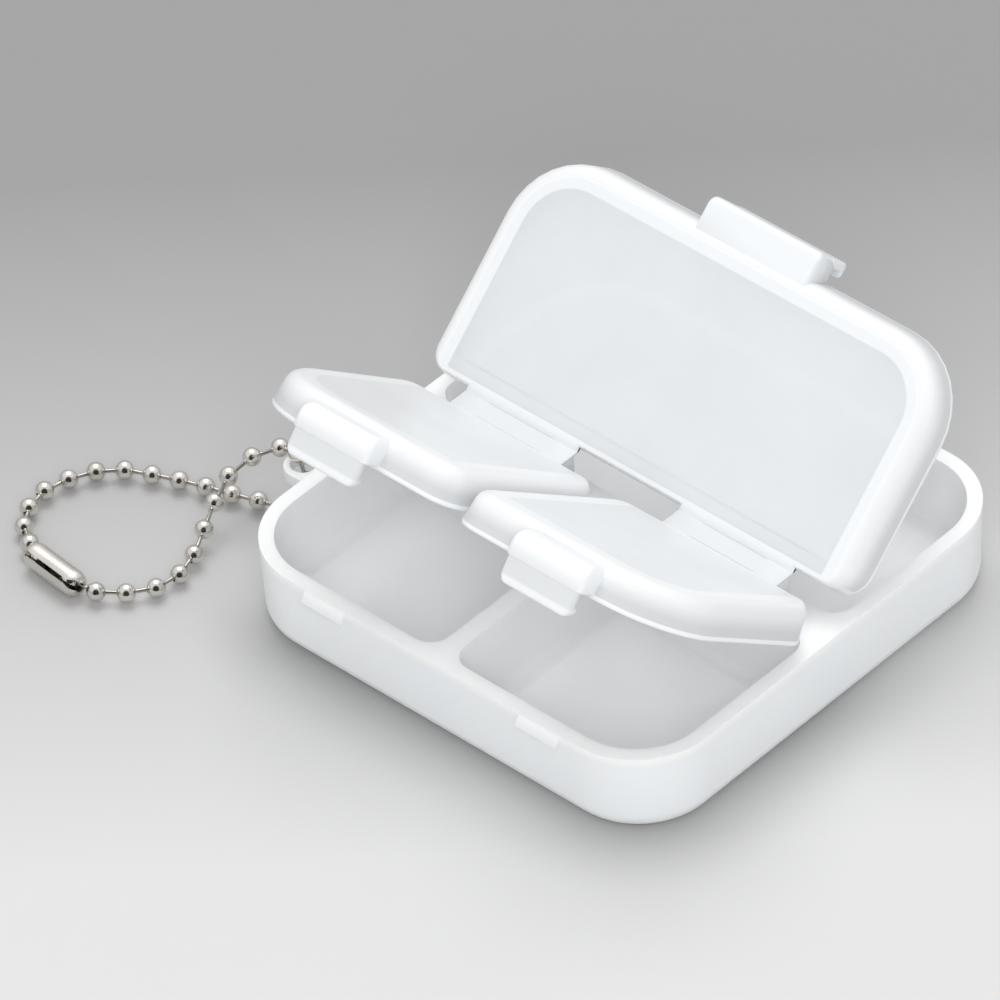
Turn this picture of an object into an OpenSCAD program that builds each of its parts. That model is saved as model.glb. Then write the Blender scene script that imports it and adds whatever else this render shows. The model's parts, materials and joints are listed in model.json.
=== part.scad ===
// Pocket storage box with three compartments, three hinged lids and a ball chain.
// Millimetres, +Z up. The origin is the middle of the tray's underside, the front edge runs
// along X, and the lids stand part open, as they do at rest.

/* [Tray] */
// Width of the tray, left to right
tray_w = 68; // [62:0.5:84]
// Depth of the tray, front to back
tray_d = 67.6; // [62:0.2:84]
// Height of the tray's rim
tray_h = 12; // [10:0.2:18]
// Radius of the tray's four upright corners
corner_r = 10.8; // [8:0.2:14]
// Thickness of the tray's outer walls
wall = 1.9; // [1.4:0.1:2.4]
// Thickness of the tray's floor
floor_t = 1.2; // [0.8:0.1:2]
// Radius of the rounded edge under the tray
foot_r = 2.6; // [1:0.2:3.4]
// Radius between the floor and the walls of a compartment
inner_r = 2; // [1.2:0.1:2.2]
// Radius of a compartment's upright corners at the divider and the middle wall
nook_r = 2.8; // [2.8:0.1:4]
// How far the outer walls draw in from the rim to the underside
tray_draft = 0.5; // [0.1:0.05:0.7]
// Thickness of the divider between the two front compartments
divider_t = 2.6; // [2:0.1:4]
// Thickness of the middle wall that carries the hinge blocks
middle_t = 4.8; // [4.2:0.1:6]
// Width of the pocket in the middle wall under each hinge block
pocket_w = 1.8; // [1.2:0.1:2.2]
// Depth of those pockets
pocket_deep = 8; // [5:0.5:8.5]

/* [Catches] */
// Width of each catch under the tray's rim
catch_w = 6.4; // [4:0.2:9]
// How far a catch stands out of the wall
catch_out = 0.8; // [0.4:0.1:1]
// Depth of a catch's lower ledge below the rim
catch_drop = 1.6; // [1.2:0.1:2.4]

/* [Lids] */
// Height of the closed lids' top above the tray's rim
lid_rise = 4.9; // [4:0.1:6]
// Thickness of a lid's top
lid_t = 1; // [0.8:0.1:1.4]
// Thickness of a lid's skirt
skirt_t = 1.3; // [1:0.1:1.5]
// Thickness of the sealing rib inside a lid
rib_t = 1.3; // [0.8:0.1:1.6]
// How far a sealing rib reaches below the rim of the tray
rib_reach = 0.3; // [0.2:0.1:1.2]
// Radius of the rounded edge round a lid's top
lid_edge_r = 1.8; // [0.6:0.1:1.8]
// Radius of the lids' upright corners at the hinges and the divider
lid_corner_r = 3.6; // [3.2:0.1:4.4]
// How far a lid's skirt draws in from its lower edge to the top
lid_draft = 0.8; // [0.1:0.05:0.9]
// How far the skirts stand in from the tray's outer faces
lid_inset = 0.2; // [0.1:0.05:0.5]
// Gap between the two front lids
lids_apart = 1; // [0.8:0.1:2]
// Clearance between a closed lid and the tray
lid_gap = 0.1; // [0.1:0.05:0.3]
// Clearance between a sealing rib and the walls that it fits in
rib_gap = 0.3; // [0.2:0.05:0.4]

/* [Opening angles at rest] */
// Left front lid, up from closed
left_open = 38; // [20:1:88]
// Right front lid, up from closed
right_open = 36.7; // [20:0.1:88]
// Large lid, up from closed
large_open = 43; // [20:1:88]

/* [Hinges] */
// Distance between the front hinge line and the rear one
pivots_apart = 3.2; // [3:0.1:4]
// Depth of the hinge lines below the lids' top
pivot_drop = 0.5; // [0.4:0.05:0.6]
// Width of each hinge block
block_w = 18; // [12:0.5:22]
// Thickness of the flexible film at a hinge
film_t = 0.6; // [0.4:0.05:0.6]
// Clearance between a film and the lid's edge that turns round it
film_gap = 0.05; // [0.03:0.01:0.1]
// Length of a hinge block's leg in its pocket
leg_deep = 7; // [4:0.5:7.5]
// How far a leg stops short of its block's ends
leg_short = 2; // [1:0.1:3]
// Clearance on each side of a leg in its pocket
leg_gap = 0.05; // [0.03:0.01:0.15]

/* [Latch tabs] */
// Width of a front lid's tab at its shoulder
small_tab_w = 11.7; // [8:0.1:14]
// Width of the large lid's tab at its shoulder
large_tab_w = 17.6; // [12:0.2:24]
// How far the large lid's tab and its catch lie to the right of the box's middle
large_tab_x = 0.6; // [-2:0.1:2]
// How far a tab's hanging plate stands in from its shoulder at each side
tab_step = 0.6; // [0.2:0.1:1.2]
// How far a tab stands out of the tray's wall
tab_out = 2.9; // [2.4:0.1:4]
// Thickness of a tab's hanging plate
tab_t = 1.2; // [0.8:0.1:1.4]
// Depth of a front tab's shoulder below the lids' top
shoulder_drop = 0.8; // [0.4:0.1:1.2]
// Depth of the large tab's shoulder below the lid's top
large_drop = 0.2; // [0.1:0.1:1.2]
// Radius of the rounded edge along a tab's shoulder
shoulder_r = 1.8; // [1:0.1:2]
// Clearance between a tab's hook and the face of the catch that it passes
hook_gap = 0.1; // [0.05:0.05:0.3]
// Height of a hook
hook_h = 0.9; // [0.6:0.1:1.2]

/* [Chain] */
// Diameter of the chain's balls
ball_d = 2.4; // [2:0.1:2.6]
// Wall of a ball
ball_wall = 0.25; // [0.2:0.05:0.3]
// Diameter of the wire links
link_d = 0.5; // [0.4:0.05:0.6]
// Diameter of the clasp's tube
clasp_d = 3.4; // [3:0.1:3.4]
// Length of the clasp
clasp_len = 9.4; // [8.8:0.2:10]
// Wall of the clasp
clasp_wall = 0.25; // [0.2:0.05:0.3]

/* [Lug] */
// How far the chain's lug stands out of the left wall
lug_out = 6.7; // [5.5:0.1:8]
// Width of the lug
lug_w = 5; // [4.4:0.1:6]
// Thickness of the lug
lug_t = 1.6; // [1.2:0.1:1.8]
// Height of the lug's top
lug_top = 9; // [8.5:0.1:9.2]
// Diameter of the hole through the lug
lug_hole_d = 3.2; // [3:0.1:3.4]

/* [Hidden] */
$fn = 64;
SMALL_LIDS = ["left", "right"];
UPPER_BALLS = 12;
LOWER_BALLS = 16;

// Places of the walls
x_out = tray_w / 2;
y_out = tray_d / 2;
x_in = x_out - wall;
y_in = y_out - wall;
x_div = divider_t / 2;
y_mid = middle_t / 2;

// Heights of the lids and hinge lines, closed
lid_top_z = tray_h + lid_rise;
lid_low_z = tray_h + lid_gap;
pivot_y = pivots_apart / 2;
pivot_z = lid_top_z - pivot_drop;
film_r = film_t / 2;
edge_y = pivot_y + film_r + film_gap;
block_y = pivot_y - film_r - film_gap;
small_x = (x_out - lid_inset + lids_apart / 2) / 2;

// Overshoot of cuts, so that no skin is left
cut = 0.2;
// Degrees that a foot's arc stops short of its wall
arc_short = 3;
// The core of a tub's side laps this far over the corners beside it, this far inside the wall's face
core_lap = 0.2;
core_skin = 0.05;
// Steps along a chain route between two of its points
ROUTE_STEPS = 8;

// Lip of each lid that reaches its hinge line, from the lid's edge inwards
lip_long = lid_edge_r + lid_draft + cut;

// Tabs: clearance below a catch, extra depth of the shoulder at its root, flare of the hanging plate's lower
// end, and the radii of its corners seen from the front
hook_drop = 0.2;
root_more = 0.9;
flare = 0.1;
tab_low_r = 1.6;
tab_high_r = 2.6;
// Height of a catch's start below the rim
catch_start = 0.3;

// Knobs at a wire link's ends: diameter, length and distance from the ball's middle, and the ball's holes
knob_d = 0.75;
knob_l = 0.25;
knob_set = 0.6;
link_play = 0.15;
link_hole_d = link_d + link_play;
// The clasp's ends are drawn in to this radius over this length, and its slot is this wide and lies
// this many degrees from the top, towards the inside of the loop
lip_r = 1.4;
lip_l = 0.6;
slot_w = 0.6;
slot_turn = 50;

// Routes of the chain's two strands, each from its ball in the clasp to its ball at the lug
UPPER = [[-51.5, -42.6, 1.8], [-48, -41.8, 1.4], [-45.2, -39.5, 1.2], [-43, -36.5, 1.2],
         [-42.5, -32.7, 1.2], [-43.5, -29, 1.5], [-44.8, -25.8, 2.7], [-45.8, -22.7, 4.4],
         [-46.1, -19.7, 6.3], [-44.8, -16.8, 8], [-42.4, -14.2, 9], [-39.2, -14.7, 10.1]];
LOWER = [[-57, -42, 1.8], [-60.4, -40.4, 1.4], [-63.3, -38.3, 1.2], [-65.2, -35.2, 1.2],
         [-65.7, -31.7, 1.2], [-64.8, -28.4, 1.2], [-63, -25.2, 1.2], [-60.3, -22.8, 1.2],
         [-57, -21.4, 1.2], [-53.6, -20, 1.2], [-50.1, -18.8, 1.2], [-46.7, -17.8, 1.2],
         [-43.4, -16.7, 1.3], [-40, -16, 1.8], [-37.6, -15.3, 3.9], [-37.8, -14.9, 6.7]];
LUG_Y = -14.8;
LUG_HOLE_X = 4.3;

// A point between b and c on the smooth curve through a, b, c and d
function between(a, b, c, d, t) =
    0.5 * (2 * b + (c - a) * t + (2 * a - 5 * b + 4 * c - d) * t * t
           + (3 * b - a - 3 * c + d) * t * t * t);
// Steps along the smooth curve through a list of points
function smooth(p, steps) = [
    for (i = [0 : len(p) - 2], k = [0 : steps - 1])
        between(p[max(i - 1, 0)], p[i], p[i + 1], p[min(i + 2, len(p) - 1)], k / steps),
    p[len(p) - 1]];
// Length of a line of points up to each of them
function lengths(p, i = 0, sum = 0) =
    i == len(p) - 1 ? [sum] : concat([sum], lengths(p, i + 1, sum + norm(p[i + 1] - p[i])));
// Places at equal steps along a smooth route
function spaced(route, n) =
    let (p = smooth(route, ROUTE_STEPS), s = lengths(p))
    [for (k = [0 : n - 1])
        [for (axis = [0 : 2])
            lookup(s[len(s) - 1] * k / (n - 1), [for (i = [0 : len(p) - 1]) [s[i], p[i][axis]]])]];

upper_at = spaced(UPPER, UPPER_BALLS);
lower_at = spaced(LOWER, LOWER_BALLS);
// All balls in order round the loop, from the lug's upper side to its lower side
balls = concat([for (k = [UPPER_BALLS - 1 : -1 : 0]) upper_at[k]], lower_at);
BALLS = len(balls);

// Rectangle with its own radius at each corner: front left, front right, rear right, rear left
module outline(x0, x1, y0, y1, r) {
    polygon([[x0 + r[0], y0], [x1 - r[1], y0], [x1, y0 + r[1]], [x1, y1 - r[2]],
             [x1 - r[2], y1], [x0 + r[3], y1], [x0, y1 - r[3]], [x0, y0 + r[0]]]);
    translate([x0 + r[0], y0 + r[0]]) circle(r[0]);
    translate([x1 - r[1], y0 + r[1]]) circle(r[1]);
    translate([x1 - r[2], y1 - r[2]]) circle(r[2]);
    translate([x0 + r[3], y1 - r[3]]) circle(r[3]);
}

// Half a section of a tub: out to r at its rim, drawn in by d at its foot, with a foot edge of radius e.
// The wall cuts the foot's arc a few degrees short of the two being in line, which keeps the solids clean.
module wall_side(r, h, e, d) {
    lean = atan(d / h);
    stop = lean + arc_short;
    in = d * (1 - e * (1 - sin(stop)) / h) - e * (1 - cos(stop));
    arc_x = r - floor(in * 100) / 100 - e;
    intersection() {
        polygon([[0, 0], [r - d, 0], [r, h], [0, h]]);
        union() {
            translate([0, e * (1 - sin(lean))]) square([r, h]);
            square([arc_x, h]);
            translate([arc_x, e]) circle(e);
        }
    }
}

// One straight side of a tub, from its middle out, with a core inside that laps over the corners beside it
module tub_side(x, y, turn, long, r, h, e, d) {
    translate([x, y, 0])
        rotate([0, 0, turn])
            rotate([90, 0, 0]) {
                linear_extrude(long) wall_side(r, h, e, d);
                translate([0, 0, -core_lap])
                    linear_extrude(long + 2 * core_lap) wall_side(r - core_skin, h, e, d);
            }
}

// One corner of a tub
module tub_corner(x, y, turn, r, h, e, d) {
    translate([x, y, 0]) rotate([0, 0, turn]) rotate_extrude(angle = 90) wall_side(r, h, e, d);
}

// Block on z = 0 with its full outline at the top, corners of radii r and walls that draw in by d below
module tub(x0, x1, y0, y1, h, r, e, d) {
    x_mid = (x0 + x1) / 2;
    y_mid = (y0 + y1) / 2;
    across = (x1 - x0) / 2;
    along = (y1 - y0) / 2;
    tub_side(x1 - r[1], y_mid, 270, x1 - r[1] - x0 - r[0], along, h, e, d);
    tub_side(x_mid, y1 - r[2], 0, y1 - r[2] - y0 - r[1], across, h, e, d);
    tub_side(x0 + r[3], y_mid, 90, x1 - r[2] - x0 - r[3], along, h, e, d);
    tub_side(x_mid, y0 + r[0], 180, y1 - r[3] - y0 - r[0], across, h, e, d);
    tub_corner(x0 + r[0], y0 + r[0], 180, r[0], h, e, d);
    tub_corner(x1 - r[1], y0 + r[1], 270, r[1], h, e, d);
    tub_corner(x1 - r[2], y1 - r[2], 0, r[2], h, e, d);
    tub_corner(x0 + r[3], y1 - r[3], 90, r[3], h, e, d);
}

// Space of one compartment, cut from the tray
module compartment(x0, x1, y0, y1, r) {
    translate([0, 0, floor_t]) tub(x0, x1, y0, y1, tray_h - floor_t, r, inner_r, tray_draft);
    translate([0, 0, tray_h - cut]) linear_extrude(2 * cut) outline(x0, x1, y0, y1, r);
}

// Pocket in the middle wall for a hinge block's leg
module leg_pocket(x) {
    long = block_w - 2 * leg_short + 2 * leg_gap;
    translate([x - long / 2, -pocket_w / 2, tray_h - pocket_deep]) cube([long, pocket_w, pocket_deep + cut]);
}

// Wedge under the rim of the front wall, with a square ledge below
module catch_wedge(x) {
    translate([x - catch_w / 2, -y_out, tray_h])
        rotate([90, 0, 90])
            linear_extrude(catch_w)
                polygon([[wall / 2, -catch_start], [0, -catch_start],
                         [-catch_out, -catch_drop], [wall / 2, -catch_drop]]);
}

// Lug on the left wall that the chain runs through
module lug() {
    translate([-x_out, LUG_Y, lug_top - lug_t])
        difference() {
            linear_extrude(lug_t) {
                translate([-lug_out + lug_w / 2, -lug_w / 2]) square([lug_out - lug_w / 2 + wall / 2, lug_w]);
                translate([-lug_out + lug_w / 2, 0]) circle(lug_w / 2);
            }
            translate([-LUG_HOLE_X, 0, -cut]) cylinder(d = lug_hole_d, h = lug_t + 2 * cut);
        }
}

module tray() {
    big = corner_r - wall;
    color([0.9, 0.93, 0.96]) {
        difference() {
            tub(-x_out, x_out, -y_out, y_out, tray_h, [for (k = [0 : 3]) corner_r], foot_r, tray_draft);
            compartment(-x_in, -x_div, -y_in, -y_mid, [big, nook_r, nook_r, nook_r]);
            compartment(x_div, x_in, -y_in, -y_mid, [nook_r, big, nook_r, nook_r]);
            compartment(-x_in, x_in, y_mid, y_in, [nook_r, nook_r, big, big]);
            leg_pocket(-small_x);
            leg_pocket(small_x);
        }
        catch_wedge(-small_x);
        catch_wedge(small_x);
        rotate([0, 0, 180]) catch_wedge(-large_tab_x);
        lug();
    }
}

// Side view of a tab, z from the lids' top and y from the tray's front face
module tab_side(drop) {
    hook_top = -lid_rise - catch_drop - hook_drop;
    inside = -tab_out + tab_t;
    root = lid_inset + lid_draft + skirt_t / 2;
    root_top = lid_inset + lid_draft + lid_t;
    root_low = -drop - shoulder_r - root_more;
    union() {
        polygon([[root_top, -drop], [-tab_out + shoulder_r, -drop],
                 [-tab_out, -drop - shoulder_r], [-tab_out - flare, hook_top - hook_h],
                 [inside, hook_top - hook_h], [-catch_out - hook_gap, hook_top - hook_h / 2],
                 [-catch_out - hook_gap, hook_top], [inside, hook_top],
                 [inside, root_low], [root, root_low]]);
        translate([-tab_out + shoulder_r, -drop - shoulder_r]) circle(shoulder_r);
    }
}

// Latch tab in front of a front lid, closed, with its shoulder at a depth below the lid's top
module tab(x, w, drop) {
    low = -lid_rise - catch_drop - hook_drop - hook_h;
    high = -drop + cut;
    half = w / 2 - tab_step;
    translate([x, -y_out, lid_top_z])
        intersection() {
            rotate([90, 0, 90]) translate([0, 0, -w / 2]) linear_extrude(w) tab_side(drop);
            rotate([90, 0, 0])
                translate([0, 0, -wall - cut])
                    linear_extrude(wall + tab_out + 2 * cut) {
                        outline(-half, half, low, high, [for (k = [0 : 3]) tab_low_r]);
                        outline(-w / 2, w / 2, -lid_rise + lid_gap, high,
                                [tab_low_r, tab_low_r, tab_high_r, tab_high_r]);
                    }
        }
}

// Lid with its skirt and sealing rib, closed; the rib's own outline follows the compartment below
module lid_shell(x0, x1, y0, y1, r, rib_x0, rib_x1, rib_y0, rib_y1, rib_r) {
    inner = [for (v = r) v - skirt_t];
    rib_inner = [for (v = rib_r) v - rib_t];
    rib_low = tray_h - rib_reach;
    rib_high = lid_top_z - lid_t / 2;
    difference() {
        translate([0, 0, lid_top_z])
            mirror([0, 0, 1])
                tub(x0, x1, y0, y1, lid_top_z - lid_low_z, r, lid_edge_r, lid_draft);
        translate([0, 0, lid_top_z - lid_t])
            mirror([0, 0, 1])
                tub(x0 + skirt_t, x1 - skirt_t, y0 + skirt_t, y1 - skirt_t,
                    lid_top_z - lid_t - lid_low_z + cut, inner, lid_edge_r / 2, lid_draft);
    }
    translate([0, 0, rib_low])
        linear_extrude(rib_high - rib_low)
            difference() {
                outline(rib_x0, rib_x1, rib_y0, rib_y1, rib_r);
                outline(rib_x0 + rib_t, rib_x1 - rib_t, rib_y0 + rib_t, rib_y1 - rib_t, rib_inner);
            }
}

// Lip between a lid's top and its hinge line, as wide as a hinge block
module hinge_lip(x) {
    translate([x - block_w / 2, -edge_y - lip_long, pivot_z - film_r]) cube([block_w, lip_long, film_t]);
}

// Front lid on the left, closed
module front_lid() {
    far = corner_r - lid_inset;
    rib_far = corner_r - wall - rib_gap;
    lid_shell(-x_out + lid_inset, -lids_apart / 2, -y_out + lid_inset, -edge_y,
              [far, lid_corner_r, lid_corner_r, lid_corner_r],
              -x_in + rib_gap, -x_div - rib_gap, -y_in + rib_gap, -y_mid - rib_gap,
              [rib_far, nook_r, nook_r, nook_r]);
    tab(-small_x, small_tab_w, shoulder_drop);
    hinge_lip(-small_x);
}

// Turns a closed front lid up about the front hinge line
module raised(angle) {
    translate([0, -pivot_y, pivot_z])
        rotate([-angle, 0, 0])
            translate([0, pivot_y, -pivot_z]) children();
}

module left_lid() {
    color([0.93, 0.95, 0.97]) raised(left_open) front_lid();
}

module right_lid() {
    color([0.93, 0.95, 0.97]) raised(right_open) mirror([1, 0, 0]) front_lid();
}

module large_lid() {
    far = corner_r - lid_inset;
    rib_far = corner_r - wall - rib_gap;
    wide = x_out - lid_inset;
    rib_wide = x_in - rib_gap;
    color([0.94, 0.96, 0.98])
        rotate([0, 0, 180])
            raised(large_open) {
                lid_shell(-wide, wide, -y_out + lid_inset, -edge_y, [far, far, lid_corner_r, lid_corner_r],
                          -rib_wide, rib_wide, -y_in + rib_gap, -y_mid - rib_gap,
                          [rib_far, rib_far, nook_r, nook_r]);
                tab(-large_tab_x, large_tab_w, large_drop);
                hinge_lip(-small_x);
                hinge_lip(small_x);
            }
}

// Hinge block on the middle wall, with its leg in the slot
module hinge_block(x) {
    color([0.91, 0.94, 0.96]) {
        translate([x - block_w / 2, -block_y, tray_h]) cube([block_w, 2 * block_y, pivot_z - tray_h]);
        translate([x - block_w / 2 + leg_short, -pocket_w / 2 + leg_gap, tray_h - leg_deep])
            cube([block_w - 2 * leg_short, pocket_w - 2 * leg_gap, leg_deep + cut]);
    }
}

// Flexible film between a block and a lid, on a hinge line: side is -1 at the front and 1 at the rear
module film(x, side) {
    color([0.97, 0.98, 0.99])
        translate([x - block_w / 2, side * pivot_y, pivot_z]) {
            rotate([0, 90, 0]) cylinder(r = film_r, h = block_w);
            translate([0, side > 0 ? block_y - pivot_y : 0, -film_r])
                cube([block_w, pivot_y - block_y, film_r]);
        }
}

module left_hinge_block() {
    hinge_block(-small_x);
}

module right_hinge_block() {
    hinge_block(small_x);
}

module left_front_hinge() {
    film(-small_x, -1);
}

module right_front_hinge() {
    film(small_x, -1);
}

module left_rear_hinge() {
    film(-small_x, 1);
}

module right_rear_hinge() {
    film(small_x, 1);
}

// Turns what lies along +X so that it runs from a towards b
module aim(a, b) {
    d = b - a;
    translate(a)
        rotate([0, -atan2(d[2], norm([d[0], d[1]])), atan2(d[1], d[0])]) children();
}

// Hole in a ball's wall towards a neighbour
module ball_hole(a, b) {
    aim(a, b) rotate([0, 90, 0]) cylinder(d = link_hole_d, h = ball_d, $fn = 24);
}

// Hollow ball with a hole towards each neighbour
module chain_ball(k) {
    here = balls[k];
    on = balls[(k + 1) % BALLS];
    heading = atan2(on[1] - here[1], on[0] - here[0]);
    color([0.82, 0.8, 0.76])
        difference() {
            translate(here)
                rotate([0, 0, heading + 90])
                    difference() {
                        sphere(d = ball_d, $fn = 48);
                        sphere(d = ball_d - 2 * ball_wall, $fn = 48);
                    }
            ball_hole(here, balls[(k + BALLS - 1) % BALLS]);
            ball_hole(here, on);
        }
}

// Wire link with a knob inside each of two balls
module chain_link(a, b) {
    long = norm(b - a);
    wire = knob_set + knob_l / 2;
    aim(a, b)
        rotate([0, 90, 0]) {
            translate([0, 0, wire]) cylinder(d = link_d, h = long - 2 * wire, $fn = 24);
            translate([0, 0, knob_set]) cylinder(d = knob_d, h = knob_l, $fn = 24);
            translate([0, 0, long - knob_set - knob_l]) cylinder(d = knob_d, h = knob_l, $fn = 24);
        }
}

module chain_links() {
    color([0.75, 0.72, 0.66])
        for (k = [0 : BALLS - 1])
            if (k != UPPER_BALLS - 1) chain_link(balls[k], balls[(k + 1) % BALLS]);
}

// Tube over the two end balls, open along one side and drawn in at its ends
module chain_clasp() {
    a = balls[UPPER_BALLS - 1];
    b = balls[UPPER_BALLS];
    r = clasp_d / 2;
    in_r = r - clasp_wall;
    in_l = lip_l + clasp_wall / 2;
    color([0.85, 0.83, 0.8])
        aim((a + b) / 2, b)
            rotate([0, 90, 0])
                difference() {
                    translate([0, 0, -clasp_len / 2])
                        rotate_extrude()
                            polygon([[lip_r, 0], [r, lip_l], [r, clasp_len - lip_l], [lip_r, clasp_len],
                                     [lip_r - clasp_wall, clasp_len], [in_r, clasp_len - in_l],
                                     [in_r, in_l], [lip_r - clasp_wall, 0]]);
                    rotate([0, 0, slot_turn])
                        translate([-clasp_d, -slot_w / 2, -clasp_len]) cube([clasp_d, slot_w, 2 * clasp_len]);
                }
}

tray();
large_lid();
left_lid();
right_lid();
left_hinge_block();
right_hinge_block();
left_front_hinge();
right_front_hinge();
left_rear_hinge();
right_rear_hinge();
chain_links();
chain_clasp();
for (k = [1 : BALLS]) chain_ball(k - 1);
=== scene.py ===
"""Looks for the pocket storage box: frosted tray, three flip lids, hinge films and a nickel ball chain.

Every shape is worked out in metres in the frame of the packed model. Run as a script; it is never installed.
"""
import json
import math

import bpy
import numpy as np
from bpy.props import FloatProperty, FloatVectorProperty, IntProperty, PointerProperty
from mathutils import Matrix


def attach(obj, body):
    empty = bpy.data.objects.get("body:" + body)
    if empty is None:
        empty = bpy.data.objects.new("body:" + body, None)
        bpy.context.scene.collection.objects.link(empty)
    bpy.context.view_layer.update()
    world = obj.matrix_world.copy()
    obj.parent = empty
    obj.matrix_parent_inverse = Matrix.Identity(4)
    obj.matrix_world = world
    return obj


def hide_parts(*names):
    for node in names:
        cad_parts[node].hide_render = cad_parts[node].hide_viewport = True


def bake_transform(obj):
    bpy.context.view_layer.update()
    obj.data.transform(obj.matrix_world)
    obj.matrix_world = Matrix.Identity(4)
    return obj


bl_info = {
    "name": "Pocket Storage Box",
    "version": (1, 0, 0),
    "blender": (4, 5, 0),
    "location": "View3D > Sidebar > Pocket Box",
    "description": "Makes the lids, hinges, chain, finishes and stage of a frosted pocket storage box",
    "category": "Object",
}

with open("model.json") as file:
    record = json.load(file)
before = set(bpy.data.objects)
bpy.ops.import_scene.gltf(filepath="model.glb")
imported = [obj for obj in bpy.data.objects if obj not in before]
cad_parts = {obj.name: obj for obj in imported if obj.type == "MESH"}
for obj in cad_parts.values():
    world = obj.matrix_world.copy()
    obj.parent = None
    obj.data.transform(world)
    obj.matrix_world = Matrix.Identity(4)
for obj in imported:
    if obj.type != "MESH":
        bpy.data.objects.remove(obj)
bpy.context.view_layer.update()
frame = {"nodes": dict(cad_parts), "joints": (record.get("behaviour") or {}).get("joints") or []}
JOINTS = {j["name"]: j for j in frame["joints"]}
MM = 0.001

# Painted light and shade: a lighter tone painted inside the tray's walls, along its rim and on its thin
# floor, painted shade on top of the wall that carries the hinge blocks and low on the lids behind it, deeper
# painted shade in creases and on shaded skirts, and the colour of the painted contact shadow on the floor
INNER_AND_RIM_LIGHT_TONE = (0.985, 0.99, 0.995)
THIN_FLOOR_LIGHT_TONE = (0.98, 0.98, 0.985)
LEDGE_SHADE_TONE = (0.92, 0.93, 0.94)
SHADE_TONE = (0.50, 0.52, 0.54)
CONTACT_SHADOW_TONE = (0.02, 0.02, 0.02)

# The pieces' light attribute paints light and shade into the tone: 0 is the plain colour, which may be
# see-through, from 0.2 on it is opaque, 1 is a painted highlight a little lighter, 2 is the ledge's painted
# shade, and both 3 and -1 are the deeper painted shade
BORDER_LIGHT = 0.38
BAND_LIGHT = 2.0
EDGE_LIGHT = 2.14
SKIRT_LIGHT = 2.62

# Insets of the rows on a lid's flat top, from its middle to the border where it turns opaque
TOP_INSETS = (0.0065, 0.0041, 0.0036)

# Level distances of the tray's corner centres from its middle; the 1 leaves heights out
CORNER_CENTRES = (0.0232, 0.023, 1.0)

# Spans over which the tray's painted light and shade change: heights at its thin floor, distances past the
# corner centres at its inner faces, heights at its rim, and the painted shade on the middle wall's top along
# y, x and z
FLOOR_SPAN = (0.00125, 0.0014)
INSIDE_SPAN = (0.0092, 0.0094)
RIM_SPAN = (0.0105, 0.012)
LEDGE_SPANS = ((0.0021, 0.0025), (0.0300, 0.0325), (0.0118, 0.01195))

# Along the floor: the way away from the camera with the span over which the floor darkens, and the way to
# the tray's front, where its painted contact shadow is deepest, with the span of that painted shadow past the
# corner centres
AWAY = (-0.695, 0.719, 0.0)
FADE_SPAN = (-0.045, 0.085)
SHADE_WAY = (0.45, -0.89, 0.0)
SHADE_SPAN = (0.0075, 0.0215)

# Way to the part of the sky that glossy faces mirror dark, which gives the balls their dark core
DARK_WAY = (0.604, -0.624, 0.495)

# Routes of the chain's two strands in metres, each from its ball in the clasp to its ball at the lug
UPPER_ROUTE = MM * np.array([
    [-51.5, -42.6, 1.8], [-48, -41.8, 1.4], [-45.2, -39.5, 1.2], [-43, -36.5, 1.2],
    [-42.5, -32.7, 1.2], [-43.5, -29, 1.5], [-44.8, -25.8, 2.7], [-45.8, -22.7, 4.4],
    [-46.1, -19.7, 6.3], [-44.8, -16.8, 8], [-42.4, -14.2, 9], [-39.2, -14.7, 10.1]])
LOWER_ROUTE = MM * np.array([
    [-57, -42, 1.8], [-60.4, -40.4, 1.4], [-63.3, -38.3, 1.2], [-65.2, -35.2, 1.2],
    [-65.7, -31.7, 1.2], [-64.8, -28.4, 1.2], [-63, -25.2, 1.2], [-60.3, -22.8, 1.2],
    [-57, -21.4, 1.2], [-53.6, -20, 1.2], [-50.1, -18.8, 1.2], [-46.7, -17.8, 1.2],
    [-43.4, -16.7, 1.3], [-40, -16, 1.8], [-37.6, -15.3, 3.9], [-37.8, -14.9, 6.7]])


def length(name, description, default):
    """A size in metres."""
    return FloatProperty(name=name, description=description, default=default, min=0.0, precision=5,
                         unit="LENGTH", subtype="DISTANCE")


def share(name, description, default):
    """A number from nought to one."""
    return FloatProperty(name=name, description=description, default=default, min=0.0, max=1.0,
                         subtype="FACTOR")


def angle(name, description, degrees):
    """An angle, given in degrees and kept in radians."""
    return FloatProperty(name=name, description=description, default=math.radians(degrees), subtype="ANGLE")


def colour(name, description, default):
    """A linear colour."""
    return FloatVectorProperty(name=name, description=description, default=default, size=3, min=0.0,
                               max=1.0, subtype="COLOR")


def power(name, description, default):
    """A lamp's power in watts."""
    return FloatProperty(name=name, description=description, default=default, min=0.0, unit="POWER")


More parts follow.
